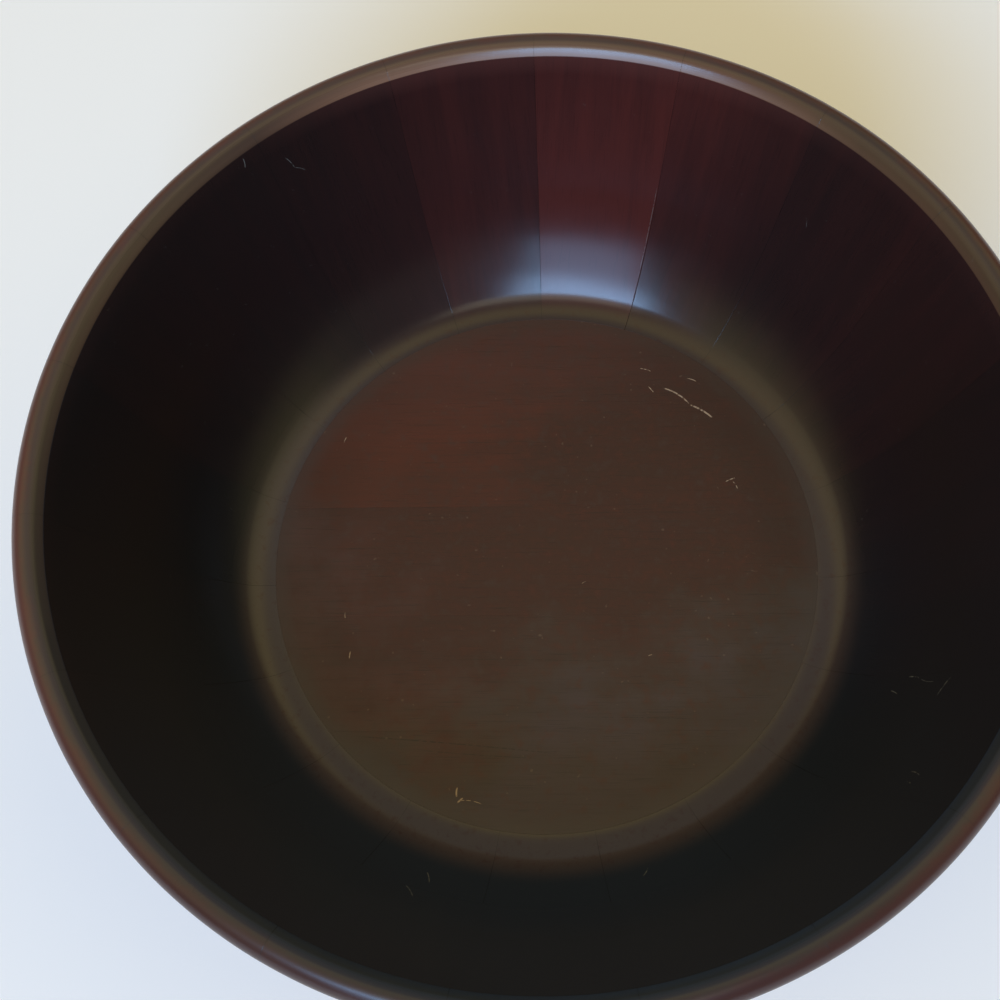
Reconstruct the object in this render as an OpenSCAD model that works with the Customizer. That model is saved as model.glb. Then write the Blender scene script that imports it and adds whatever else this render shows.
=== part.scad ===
// Stave-built wooden bowl on a turned pedestal.
// Sizes are in millimetres and +Z is up. The origin is the middle of the felt's underside, where the bowl
// stands, and +Y is the far side of the bowl.

/* [Wall] */
// Diameter over the outside of the lip
rim_d = 305; // [270:1:340]
// Depth inside, from the crown of the lip to the floor
bowl_depth = 85; // [70:1:100]
// Lean of the wall out from upright, in degrees
wall_flare = 21; // [18:0.5:26]
// Thickness of the staves, square to the wall
wall_t = 10.5; // [8:0.5:13]
// What the lip's radius adds to half the stave, so that it meets the inside of the wall at an arris
lip_extra_r = 0.25; // [0.05:0.05:1]
// Distance below that arris where the bevel that cuts it off starts
bevel_drop = 0.8; // [0.2:0.1:1.2]
// Rise of the bevel, in degrees
bevel_rise = 40; // [35:1:50]
// Radius of the cove beside the floor
cove_r = 15; // [10:1:20]
// Radius that eases the cove into the wall
ease_r = 84; // [60:1:95]
// Rise of the cove, in degrees, where the easing starts
ease_turn = 40; // [30:1:50]
// Radius of the round at the foot of the wall, outside
heel_r = 20; // [8:1:24]
// Number of staves round the wall
stave_count = 19; // [12:1:24]
// Turn of the first stave joint from +X, in degrees
stave_turn = 6.65; // [0:0.05:30]

/* [Floor] */
// Thickness of the floor boards
floor_t = 12; // [10:0.5:16]
// Reach of the floor's lower step under the feet of the staves
rebate_w = 6; // [3:0.5:8]
// Height of that step
rebate_h = 6; // [3:0.5:8]
// Number of boards glued edge to edge
board_count = 5; // [3:1:7]
// Turn of the boards from +X, in degrees
board_turn = -8; // [-90:1:90]

/* [Pedestal] */
// Height of the pedestal, from the table to the underside of the bowl
pedestal_h = 75; // [65:1:110]
// Diameter of the collar under the bowl
collar_d = 124; // [116:1:150]
// Thickness of the collar
collar_t = 11; // [9:0.5:16]
// Radius of the round along the lower edge of the collar
collar_edge_r = 6; // [2:0.5:8]
// Diameter of the stem over its upper bead
stem_top_d = 66; // [58:1:74]
// Diameter of the stem at its waist
stem_waist_d = 44; // [40:1:50]
// Diameter of the stem over its lower bead
stem_foot_d = 76; // [68:1:84]
// Height of the waist above the base
stem_waist_h = 25; // [22:1:28]
// Height of each bead on the stem
bead_h = 6; // [4:0.5:8]
// Diameter of the tenons on the stem
tenon_d = 30; // [20:1:34]
// Length of the stem's lower tenon
tenon_len = 11; // [6:0.5:12]
// Diameter of the base over its edge
base_d = 150; // [130:1:180]
// Thickness of the base
base_t = 18; // [16:0.5:26]
// Height of the base's half-round edge
base_edge_h = 7; // [5:0.5:10]
// Width of the step from the edge of the base to its dome
base_step_w = 6; // [4:0.5:10]
// Thickness of the felt
felt_t = 2; // [1:0.5:4]
// Distance from the flat of the base's underside to the edge of the felt
felt_inset = 1.5; // [0:0.5:6]

/* [Fastenings] */
// Number of screws up through the collar
collar_screw_count = 4; // [3:1:6]
// Diameter of the circle that the collar screws lie on
collar_screw_circle = 92; // [84:1:96]
// Diameter of the collar screws
collar_screw_d = 4.5; // [3.5:0.5:5]
// Diameter of their heads
collar_screw_head_d = 9; // [7:0.5:9.5]
// Bite of the collar screws in the floor
collar_screw_bite = 8; // [5:0.5:9]
// Diameter of the plugs over the collar screws
plug_d = 10; // [10:0.5:12]
// Depth of the plugs
plug_t = 3; // [2:0.5:4]
// Diameter of the base screw
base_screw_d = 6; // [4:0.5:8]
// Diameter of its head
base_screw_head_d = 12; // [9:0.5:14]
// Depth of the base screw's head above the felt
base_screw_recess = 1; // [0.5:0.5:2]
// Bite of the base screw in the stem
base_screw_bite = 28; // [15:1:34]
// Length of the point on each screw
screw_point = 4; // [2:0.5:5]
// Width and depth of the slots in the screw heads
screw_slot = 1.2; // [0.8:0.1:1.5]
// Room left for glue in a joint and round a screw
glue_gap = 0.1; // [0.05:0.05:0.3]

/* [Hidden] */
$fn = 96;

// Heights above the table
base_z = felt_t;
stem_z = base_z + base_t;
under_z = pedestal_h;
collar_z = under_z - collar_t;
floor_z = under_z + floor_t;
crown_z = floor_z + bowl_depth;
rebate_z = under_z + rebate_h;

// Faces of the screw heads, and the screws' lengths
collar_screw_z = collar_z + plug_t + glue_gap;
collar_screw_len = under_z - collar_screw_z + collar_screw_bite;
base_screw_z = base_z + base_screw_recess;
base_screw_len = stem_z - tenon_len - base_screw_z + base_screw_bite;

// The wall is two lines square to out_dir, a stave's thickness apart. The lip, the eased cove and the heel
// are arcs that touch them, and each arc's centre is found from its distance to the outer line.
// An arc stands out a little past the line or the arc that it runs into, and runs on beyond it by some
// degrees, so that the two cross.
arc_overlap = 0.02;
arc_run_on = 6;
out_dir = turned(90 - wall_flare);
up_dir = [sin(wall_flare), cos(wall_flare)];
lip_r = wall_t / 2 + lip_extra_r;
lip_c = [rim_d / 2 - lip_r, crown_z - lip_r];
ease_c = arc_centre(ease_r + wall_t, floor_z + cove_r + (ease_r - cove_r) * cos(ease_turn));
cove_c = ease_c + (ease_r - cove_r) * turned(ease_turn);
heel_c = arc_centre(heel_r, under_z + heel_r);
lip_out = lip_c + (lip_r - arc_overlap) * out_dir;
heel_out = heel_c + (heel_r - arc_overlap) * out_dir;
ease_out = ease_c + (ease_r - arc_overlap) * out_dir;
arris = lip_c + (lip_r - wall_t) * out_dir + sqrt(wall_t * (2 * lip_r - wall_t)) * up_dir;
bevel_in = arris - bevel_drop * up_dir;
mouth = bevel_in + 2 * lip_r * [cos(bevel_rise), sin(bevel_rise)];
function turned(angle) = [sin(angle), -cos(angle)];
function arc_centre(inset, z) =
    [lip_c[0] + (lip_r - inset + (z - lip_c[1]) * sin(wall_flare)) / cos(wall_flare), z];

// Radii of the floor panel, on its face and on its lower step
floor_r = cove_c[0];
step_r = floor_r + rebate_w;
stave_pitch = 360 / stave_count;
board_w = 2 * step_r / board_count;

// Arcs of the stem, upright at the waist and ending at the necks beside the beads
waist_r = stem_waist_d / 2;
waist_z = stem_z + stem_waist_h;
top_neck = [stem_top_d / 2 - bead_h / 2, collar_z - bead_h];
foot_neck = [stem_foot_d / 2 - bead_h / 2, stem_z + bead_h];
top_arc_r = arc_radius(top_neck[0] - waist_r, top_neck[1] - waist_z);
foot_arc_r = arc_radius(foot_neck[0] - waist_r, waist_z - foot_neck[1]);
// Arc of the base's dome, level where the stem's lower bead ends
dome_top_r = stem_foot_d / 2;
dome_foot_r = base_d / 2 - base_step_w;
dome_r = arc_radius(base_t - base_edge_h, dome_foot_r - dome_top_r);
function arc_radius(rise, run) = (rise * rise + run * run) / (2 * rise);

// Names of the pieces that repeat
function stave_name(i) = str("stave_", i < 10 ? "0" : "", i);
function board_name(i) = str("floor_board_", i);

// Rectangle in a turned section, from radius r0 to r1 and height z0 to z1
module band(r0, r1, z0, z1) {
    translate([r0, z0]) square([r1 - r0, z1 - z0]);
}

// Sector of a circle with centre c, between two angles turned up from straight down
module arc_sector(c, r, start, end) {
    intersection() {
        translate(c) circle(r = r);
        polygon([c, c + 2 * r * turned(start), c + 2 * r * turned(end)]);
    }
}

// Room inside the bowl: the eased cove below, the straight wall, and the bevel under the crown of the lip
module hollow_section() {
    in_cove = cove_c + cove_r / 2 * turned(ease_turn / 2);
    polygon([[0, floor_z], [floor_r, floor_z], in_cove, ease_out, bevel_in, mouth, [0, mouth[1]]]);
    arc_sector(cove_c, cove_r + arc_overlap, 0, ease_turn + arc_run_on);
    arc_sector(ease_c, ease_r, ease_turn, 90 - wall_flare + arc_run_on);
}

// Stepped floor panel, with gap taken off the faces that are glued into the staves
module panel_section(gap) {
    band(0, floor_r - gap, under_z, floor_z);
    band(0, step_r - gap, under_z, rebate_z - gap);
}

// Wall with its lip, heel, cove and the rebate for the floor
module wall_section() {
    difference() {
        union() {
            polygon([[0, under_z], [heel_c[0], under_z], heel_out, lip_out, lip_c, [0, lip_c[1]]]);
            arc_sector(heel_c, heel_r, 0, 90 - wall_flare + arc_run_on);
            translate(lip_c) circle(r = lip_r);
        }
        hollow_section();
        panel_section(0);
    }
}

module stave(i) {
    color([0.30 + 0.03 * (i % 3), 0.11, 0.10])
        rotate(stave_turn + (i - 1) * stave_pitch)
            rotate_extrude(angle = stave_pitch) wall_section();
}

// Countersunk wood screw, head down, with its head's face at height 0 and grow added all round
module screw_body(shank_d, head_d, len, grow) {
    head_h = (head_d - shank_d) / 2;
    cylinder(d1 = head_d + 2 * grow, d2 = shank_d + 2 * grow, h = head_h);
    cylinder(d = shank_d + 2 * grow, h = len - screw_point);
    translate([0, 0, len - screw_point])
        cylinder(d1 = shank_d + 2 * grow, d2 = shank_d / 4 + 2 * grow, h = screw_point + grow);
}

module screw(shank_d, head_d, len) {
    difference() {
        screw_body(shank_d, head_d, len, 0);
        translate([-head_d, -screw_slot / 2, -screw_slot])
            cube([2 * head_d, screw_slot, 2 * screw_slot]);
    }
}

// Places of the collar screws, on the diagonals of the boards
module at_collar_screws(z) {
    for (k = [0:collar_screw_count - 1])
        rotate(board_turn + (k + 0.5) * 360 / collar_screw_count)
            translate([collar_screw_circle / 2, 0, z]) children();
}

module floor_board(i) {
    color([0.36, 0.24, 0.17])
        difference() {
            intersection() {
                rotate_extrude() panel_section(glue_gap);
                rotate(board_turn)
                    translate([-step_r, -step_r + (i - 1) * board_w, under_z])
                        cube([2 * step_r, board_w, floor_t]);
            }
            at_collar_screws(collar_screw_z)
                screw_body(collar_screw_d, collar_screw_head_d, collar_screw_len, glue_gap);
        }
}

module collar() {
    color([0.28, 0.11, 0.09])
        difference() {
            rotate_extrude() {
                edge_r = collar_d / 2 - collar_edge_r;
                band(tenon_d / 2 + glue_gap, edge_r, collar_z, under_z);
                band(edge_r, collar_d / 2, collar_z + collar_edge_r, under_z);
                intersection() {
                    translate([edge_r, collar_z + collar_edge_r]) circle(r = collar_edge_r);
                    band(edge_r, collar_d / 2, collar_z, collar_z + collar_edge_r);
                }
            }
            at_collar_screws(collar_screw_z)
                screw_body(collar_screw_d, collar_screw_head_d, collar_screw_len, glue_gap);
            at_collar_screws(collar_z - plug_t)
                cylinder(d = plug_d + 2 * glue_gap, h = 2 * plug_t + glue_gap);
        }
}

module collar_screws() {
    color([0.72, 0.66, 0.48])
        at_collar_screws(collar_screw_z) screw(collar_screw_d, collar_screw_head_d, collar_screw_len);
}

module collar_plugs() {
    color([0.32, 0.14, 0.11]) at_collar_screws(collar_z) cylinder(d = plug_d, h = plug_t);
}

module stem_section() {
    band(0, tenon_d / 2, stem_z - tenon_len, stem_z);
    band(0, foot_neck[0], stem_z, foot_neck[1]);
    translate([foot_neck[0], stem_z + bead_h / 2]) circle(d = bead_h);
    difference() {
        band(0, foot_neck[0], foot_neck[1], waist_z);
        translate([waist_r + foot_arc_r, waist_z]) circle(r = foot_arc_r);
    }
    difference() {
        band(0, top_neck[0], waist_z, top_neck[1]);
        translate([waist_r + top_arc_r, waist_z]) circle(r = top_arc_r);
    }
    translate([top_neck[0], collar_z - bead_h / 2]) circle(d = bead_h);
    band(0, top_neck[0], top_neck[1], collar_z);
    band(0, tenon_d / 2, collar_z, under_z - glue_gap);
}

module stem() {
    color([0.26, 0.10, 0.08])
        difference() {
            rotate_extrude() stem_section();
            translate([0, 0, base_screw_z])
                screw_body(base_screw_d, base_screw_head_d, base_screw_len, glue_gap);
        }
}

module base() {
    color([0.28, 0.11, 0.09])
        difference() {
            rotate_extrude() {
                edge_r = base_d / 2 - base_edge_h / 2;
                band(0, edge_r, base_z, base_z + base_edge_h);
                intersection() {
                    translate([edge_r, base_z + base_edge_h / 2]) circle(d = base_edge_h);
                    band(0, base_d, base_z, base_z + base_edge_h);
                }
                band(0, dome_top_r, base_z, stem_z);
                intersection() {
                    translate([dome_top_r, stem_z - dome_r]) circle(r = dome_r);
                    band(dome_top_r, dome_foot_r, base_z, stem_z);
                }
            }
            translate([0, 0, stem_z - tenon_len - glue_gap])
                cylinder(d = tenon_d + 2 * glue_gap, h = tenon_len + base_t);
            translate([0, 0, base_screw_z])
                screw_body(base_screw_d, base_screw_head_d, base_screw_len, glue_gap);
            translate([0, 0, base_z - base_screw_recess])
                cylinder(d = base_screw_head_d + 2 * glue_gap, h = 2 * base_screw_recess);
        }
}

module base_screw() {
    color([0.72, 0.66, 0.48])
        translate([0, 0, base_screw_z]) screw(base_screw_d, base_screw_head_d, base_screw_len);
}

module felt() {
    color([0.20, 0.13, 0.10]) cylinder(d = base_d - base_edge_h - 2 * felt_inset, h = felt_t);
}

for (i = [1:stave_count]) stave(i);
for (i = [1:board_count]) floor_board(i);
collar();
collar_screws();
collar_plugs();
stem();
base();
base_screw();
felt();
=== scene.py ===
import math

import bmesh
import bpy
import numpy as np
from bpy.props import FloatProperty, FloatVectorProperty, IntProperty, PointerProperty
from mathutils import Matrix, Vector


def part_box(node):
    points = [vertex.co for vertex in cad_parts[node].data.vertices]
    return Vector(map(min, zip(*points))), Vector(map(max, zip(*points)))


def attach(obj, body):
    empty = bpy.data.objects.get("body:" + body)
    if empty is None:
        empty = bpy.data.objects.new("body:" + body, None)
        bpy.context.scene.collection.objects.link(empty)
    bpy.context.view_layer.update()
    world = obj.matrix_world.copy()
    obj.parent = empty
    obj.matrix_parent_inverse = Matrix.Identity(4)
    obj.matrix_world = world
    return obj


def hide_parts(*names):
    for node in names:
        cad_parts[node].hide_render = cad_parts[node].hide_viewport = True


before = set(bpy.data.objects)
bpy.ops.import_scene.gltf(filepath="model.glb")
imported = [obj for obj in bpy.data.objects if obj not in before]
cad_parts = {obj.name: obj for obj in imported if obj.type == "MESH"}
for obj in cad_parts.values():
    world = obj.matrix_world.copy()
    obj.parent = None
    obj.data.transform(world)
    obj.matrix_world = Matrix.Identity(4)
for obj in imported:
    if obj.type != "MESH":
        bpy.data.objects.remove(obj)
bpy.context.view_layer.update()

bl_info = {
    "name": "Stave bowl on a pedestal",
    "version": (1, 0, 0),
    "blender": (4, 5, 0),
    "location": "View3D > Sidebar > Bowl",
    "description": "Wooden bowl built of staves, with a floor of boards and a turned pedestal",
    "category": "Object",
}

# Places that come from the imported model
STAVES = sorted(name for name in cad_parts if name.startswith("stave_"))
BOARDS = sorted(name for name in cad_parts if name.startswith("floor_board_"))
CROWN_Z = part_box(STAVES[0])[1].z
FLOOR_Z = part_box(BOARDS[0])[1].z
UNDER_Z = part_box(BOARDS[0])[0].z
COLLAR_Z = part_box("collar")[0].z
BASE_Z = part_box("base")[0].z
BASE_TOP_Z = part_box("base")[1].z
FELT_TOP_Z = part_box("felt")[1].z
MM = 0.001

# Points along the runs of a stave's section, and across a stave
SECTION_STEPS = {"cove": 24, "ease": 26, "inner": 22, "bevel": 14, "lip": 40, "outer": 18, "heel": 16}
STAVE_COLUMNS = 64

# Small sizes of a stave: what the wall stops short of the bevel, turn of the bevel's ends in degrees,
# rounding of its upper corner, what the toe stays below the floor, and unevenness of the inside
WALL_SHORT = 0.25 * MM
BEVEL_BOW = 4
CREST_ROUND = 1.1 * MM
TOE_DROP = 0.03 * MM
UNEVEN = 0.02 * MM

# Glue lines: columns beside a joint, as distances in line widths, and the share of the depth at each. A
# tight line has one depth, and the open one gets deeper below a height.
LINE_STEPS = np.array([0.02, 0.5, 1.0, 2.5])
LINE_FALL = np.array([1, 0.35, 0, 0])
LINE_WIDTH = 0.06 * MM
LINE_DEPTH = 0.015 * MM
OPEN_WIDTH = 0.10 * MM
OPEN_DEPTH = 0.075 * MM
OPEN_TOP = 140 * MM
OPEN_FADE = 20 * MM

# Tones of the first and last staves at their two joints, 0 darkest and 1 reddest, and what height adds to
# them. The tones of the staves between are drawn.
FIRST_TONES = ((0.17, 0.23, 0.2), (0.24, 0.20, 0.3), (0.26, 0.70, 0.5), (0.98, 0.86, -0.3),
               (0.52, 0.44, 0.0), (0.28, 0.13, 0.0), (0.12, 0.09, 0.0), (0.09, 0.06, 0.0))
LAST_TONES = ((0.06, 0.09, 0.0), (0.10, 0.12, 0.0))
DRAWN_TONES = (0.0, 0.05)
CLIMB_START = 110 * MM
CLIMB_REACH = 55 * MM
TONE_SEED = 11
SHADE_SEED = 23
RIPPLE_SEED = 100

# Stain of the cove: its reach from the floor, what the near side adds, its fade, and the azimuth from +Y of
# the side where it is palest. The extra reach and the paler, greyer colour towards the near side are partly
# painted reflection of the room on the cove.
TOE_REACH = 11.5 * MM
TOE_NEAR_REACH = 5 * MM
TOE_FADE = 9 * MM
TOE_SHEEN_WAY = math.radians(-150)

# Painted reflection on the nearer staves, left and right, a grey sheen put into the dark wall's colour:
# degrees from +Y to its start, and from there to its full share
GLEAM_START = (55, 80)
GLEAM_REACH = (105, 100)

# Floor: redness of the boards, ease of their edges, and the share of the glue gap left round the floor's
# face
BOARD_REDS = (0.15, 0.10, 0.15, 1.0, 0.75)
BOARD_EASE = 0.012 * MM
FACE_GAP = 0.1

# Turned pieces: clearance of the tenons, eased edges, and the cone at the tip of the screw's hole
FIT_GAP = 0.1 * MM
STEM_EASE = 0.25 * MM
BASE_EASE = 0.3 * MM
SCREW_TIP = 4 * MM

# Shading: degrees above which an edge stays crisp, and how far apart the grain of two pieces lies
CREASE = 40
GRAIN_SHIFT = 3.7

# Dark tints of the finishes, linear
WALL_PORE = (0.004, 0.0025, 0.0025)
WALL_SEAM = (0.004, 0.0025, 0.002)
FLOOR_GRAIN = (0.026, 0.012, 0.008)
FLOOR_STREAK = (0.028, 0.013, 0.008)
# Dark of the floor's pores, also used for painted shade near the wall
FLOOR_PORE_AND_SHADE = (0.012, 0.006, 0.004)
FLOOR_LINE = (0.012, 0.007, 0.005)
TURNED_STREAK = (0.014, 0.006, 0.005)
TURNED_PORE = (0.006, 0.003, 0.003)
BRASS_DULL = (0.22, 0.15, 0.07)

# Stage: radius and sides of the table, and the heights, as sines, where the room's light starts and is full
TABLE_REACH = 6.0
TABLE_SIDES = 144
ROOM_STOPS = (0.27, 0.64)


def number(name, text, value, **kind):
    """A number setting."""
    return FloatProperty(name=name, description=text, default=value, **kind)


def length(name, text, value):
    """A length setting in metres."""
    return number(name, text, value, unit="LENGTH", subtype="DISTANCE", precision=5)


def angle(name, text, degrees):
    """An angle setting, given in degrees."""
    return number(name, text, math.radians(degrees), unit="ROTATION", subtype="ANGLE")


def colour(name, text, value):
    """A linear colour setting."""
    return FloatVectorProperty(
        name=name, description=text, default=value, size=3, min=0, max=1, subtype="COLOR")


def direction(name, text, value):
    """A direction setting."""
    return FloatVectorProperty(name=name, description=text, default=value, size=3, subtype="DIRECTION")


def pane(name, azimuth, elevation, width, height, power):
    """Settings of one area light that faces the bowl: its direction, its size and its power."""
    word = name.capitalize() + " "
    return {name + "_azimuth": angle(word + "azimuth", "Direction from +Y towards +X", azimuth),
            name + "_elevation": angle(word + "elevation", "Height above the horizon", elevation),
            name + "_width": length(word + "width", "Width of the light", width),
            name + "_height": length(word + "height", "Height of the light", height),
            name + "_power": number(word + "power", "Power of the light in watts", power)}


class BowlSizes(bpy.types.PropertyGroup):
    """Sizes of the staves and of the floor."""

    rim_radius: length("Rim radius", "Radius over the outside of the lip", 152.5 * MM)
    crown_height: length("Crown height", "Height of the lip's crown", CROWN_Z)
    floor_height: length("Floor height", "Height of the floor inside", FLOOR_Z)
    underside_height: length("Underside height", "Height of the bowl's underside", UNDER_Z)
    flare: angle("Flare", "Lean of the wall out from upright", 21)
    wall_thickness: length("Wall thickness", "Thickness of the staves", 10.5 * MM)
    lip_extra: length("Lip extra", "What the lip's radius adds to half the stave", 0.25 * MM)
    bevel_drop: length("Bevel drop", "Start of the bevel below the arris inside the lip", 1.4 * MM)
    bevel_rise: angle("Bevel rise", "Rise of the bevel inside the lip", 44)
    cove_radius: length("Cove radius", "Radius of the cove beside the floor", 15 * MM)
    ease_radius: length("Ease radius", "Radius that eases the cove into the wall", 84 * MM)
    ease_turn: angle("Ease turn", "Rise of the cove where the easing starts", 40)
    heel_radius: length("Heel radius", "Radius at the foot of the wall outside", 20 * MM)
    rebate_width: length("Rebate width", "Reach of the floor under the staves", 6 * MM)
    rebate_height: length("Rebate height", "Height of the floor's lower step", 6 * MM)
    glue_gap: length("Glue gap", "Room left for glue", 0.1 * MM)
    first_joint: angle("First joint", "Turn of the first stave joint from +X", 6.65)
    board_turn: angle("Board turn", "Turn of the floor boards from +X", -8)
    open_joint: IntProperty(
        name="Open joint", description="Stave whose first joint has opened", default=4, min=1)


class PedestalSizes(bpy.types.PropertyGroup):
    """Sizes of the turned pedestal."""

    stem_top_radius: length("Stem top", "Radius over the stem's upper bead", 33 * MM)
    stem_waist_radius: length("Stem waist", "Radius of the stem at its waist", 22 * MM)
    stem_foot_radius: length("Stem foot", "Radius over the stem's lower bead", 38 * MM)
    stem_waist_height: length("Waist height", "Height of the waist above the base", 25 * MM)
    bead_height: length("Bead height", "Height of each bead on the stem", 6 * MM)
    tenon_radius: length("Tenon radius", "Radius of the stem's tenons", 15 * MM)
    tenon_length: length("Tenon length", "Length of the stem's lower tenon", 11 * MM)
    base_radius: length("Base radius", "Radius over the edge of the base", 75 * MM)
    base_edge: length("Base edge", "Height of the base's half-round edge", 7 * MM)
    base_step: length("Base step", "Step from the edge to the dome", 6 * MM)
    screw_radius: length("Screw radius", "Radius of the base screw's hole", 3.1 * MM)
    screw_head_radius: length("Screw head", "Radius of the recess for its head", 6.1 * MM)
    screw_recess: length("Screw recess", "Depth of that recess", 1 * MM)
    screw_bite: length("Screw bite", "Depth of the screw in the stem", 28.1 * MM)
    felt_radius: length("Felt radius", "Radius of the felt", 70 * MM)


class WoodColours(bpy.types.PropertyGroup):
    """Colours of the finishes, linear."""

    wall_red: colour("Wall red", "Stain of the reddest stave", (0.072, 0.0145, 0.0118))
    wall_dark: colour("Wall dark", "Stain of the darkest stave", (0.0060, 0.0062, 0.0068))
    lip_worn: colour("Lip worn", "Wood where hands have worn the lip", (0.066, 0.038, 0.029))
    # Partly painted highlight: bared wood on the far arris, pale where the window's highlight falls
    arris: colour("Arris", "Wood bared on the arris inside the far lip", (0.21, 0.098, 0.056))
    lip_red: colour("Lip red", "Stain on the outer half of the lip", (0.096, 0.032, 0.026))
    floor_brown: colour("Floor brown", "Stain of the floor", (0.048, 0.0108, 0.0064))
    floor_red: colour("Floor red", "Redder stain at one side of the floor", (0.080, 0.0132, 0.0058))
    # Partly painted reflection: olive of the flecks, also spread over the near side as a sheen of the ceiling
    floor_olive: colour("Floor olive", "Duller stain at the other side", (0.053, 0.0278, 0.0225))
    floor_tan: colour("Floor tan", "Lighter stain in patches of the floor", (0.084, 0.0292, 0.0250))
    # Painted reflection: the near floor's stain greyed by a sheen of the pale ceiling
    floor_grey: colour("Floor grey", "Greyer stain at the near edge of the floor", (0.057, 0.0305, 0.0370))
    toe: colour("Toe", "Stain of the cove beside the floor", (0.047, 0.0248, 0.0178))
    # Partly painted reflection: the stain of the cove, greyed by a sheen of the room painted in on the near
    # side
    toe_near_and_sheen: colour("Toe near", "The same on the nearer side", (0.068, 0.0470, 0.0480))
    pedestal: colour("Pedestal", "Stain of the turned pieces", (0.056, 0.0150, 0.0115))
    bare_wood: colour("Bare wood", "Wood that shows in a scratch", (0.42, 0.27, 0.18))
    # Painted reflection: a grey sheen of the room on the dark wall of the nearer staves
    near_gleam: colour("Gleam", "Grey film on the nearer staves", (0.0185, 0.0250, 0.0400))
    scuff: colour("Scuff", "Lacquer whitened by a knock", (0.17, 0.16, 0.145))
    brass: colour("Brass", "Metal of the screws", (0.60, 0.42, 0.17))
    felt: colour("Felt", "Wool of the felt", (0.050, 0.028, 0.020))


class StageSettings(bpy.types.PropertyGroup):
    """Camera, light and floor."""

    camera_place: FloatVectorProperty(
        name="Camera place", description="Where the camera stands", default=(-0.0120, -0.1553, 0.5500),
        size=3, subtype="XYZ", unit="LENGTH")
    camera_tilt: angle("Camera tilt", "Tilt of the view from straight down towards +Y", 21.14)
    camera_roll: angle("Camera roll", "Roll of the camera about its view", -8.08)
    focal_length: number("Focal length", "Lens in millimetres on a 36 mm sensor", 51.84)
    window_distance: length("Window distance", "Distance of the window from the bowl", 4.0)
    window_colour: colour("Window colour", "Daylight through the upper and lower panes", (0.34, 0.60, 1.0))
    __annotations__.update(pane("upper", 201, 41, 2.0, 0.85, 112.0))
    __annotations__.update(pane("lower", 199, 24.5, 1.85, 1.5, 46.0))
    glow_colour: colour("Glow colour", "Light of the wall above the window", (1.0, 0.95, 0.72))
    __annotations__.update(pane("glow", 189, 55, 2.3, 1.2, 18.0))
    room_low: colour("Room low", "Light from near the horizon", (0.24, 0.20, 0.12))
    room: colour("Room", "Light from the walls and the ceiling", (1.0, 0.88, 0.41))
    room_level: number("Room level", "Strength of the room's light", 1.05)
    far_shade: colour("Far shade", "Light from the far side of the room", (0.28, 0.35, 0.37))
    far_way: direction("Far way", "Direction of that far side", (0.0, 0.707, 0.707))
    far_core: angle("Far core", "Reach of its full shade", 20)
    far_edge: angle("Far edge", "Reach of its soft edge", 38)
    near_shade: colour("Near shade", "Light from behind the camera", (0.21, 0.20, 0.18))
    near_way: direction("Near way", "Direction behind the camera", (0.055, -0.786, 0.616))
    near_core: angle("Near core", "Reach of its full shade", 28)
    near_edge: angle("Near edge", "Reach of its soft edge", 52)
    backdrop: colour("Backdrop", "What the camera sees past the table", (0.74, 0.74, 0.72))
    table: colour("Table", "Pale surface that the bowl stands on", (0.97, 0.91, 0.95))


# Shapes worked out as arrays


def arc(centre, radius, start, end, count):
    """Points of a circle's arc: centre plus radius times the direction, from start to end in degrees."""
    turn = np.radians(np.linspace(start, end, count))
    return np.stack([centre[0] + radius * np.cos(turn), centre[1] + radius * np.sin(turn)], axis=1)


def run(a, b, count):
    """Evenly spaced points on the straight line from a to b."""
    share = np.linspace(0, 1, count)[:, None]
    return np.asarray(a) * (1 - share) + np.asarray(b) * share


def bowed(a, b, bend, count):
    """Points of an arc from a to b, bowed to the left, whose ends turn by bend degrees from the line."""
    along = b - a
    reach = np.linalg.norm(along)
    left = math.degrees(math.atan2(along[0], -along[1]))
    radius = reach / (2 * math.sin(math.radians(bend)))
    back = radius * math.cos(math.radians(bend))
    centre = (a + b) / 2 - back * np.array([math.cos(math.radians(left)), math.sin(math.radians(left))])
    return arc(centre, radius, left + bend, left - bend, count)


def path_of(*runs):
    """Runs of points joined end to end, with each point that repeats the one before it left out."""
    points = np.concatenate([np.atleast_2d(r) for r in runs])
    step = np.linalg.norm(np.diff(points, axis=0), axis=1)
    return points[np.r_[True, step > 1e-7]]


def smooth(share):
    """The share x made level at both ends, 3 x^2 - 2 x^3."""
    return share * share * (3 - 2 * share)


def eased(path, reach, limit=20):
    """The path with each corner sharper than limit degrees cut back by reach on both sides and bowed."""
    before, after = path[:-2] - path[1:-1], path[2:] - path[1:-1]
    len_b, len_a = np.linalg.norm(before, axis=1), np.linalg.norm(after, axis=1)
    cosine = np.clip(-(before * after).sum(1) / (len_b * len_a), -1, 1)
    sharp = np.degrees(np.arccos(cosine)) > limit
    cut_b = np.minimum(reach / len_b, 0.4)[:, None] * before
    cut_a = np.minimum(reach / len_a, 0.4)[:, None] * after
    middle = path[1:-1]
    three = np.stack([middle + cut_b, middle + (cut_b + cut_a) / 4, middle + cut_a], axis=1)
    three = np.where(sharp[:, None, None], three, middle[:, None])
    keep = np.stack([sharp, np.ones_like(sharp), sharp], axis=1)
    return np.concatenate([path[:1], three.reshape(-1, 2)[keep.reshape(-1)], path[-1:]])


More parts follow.
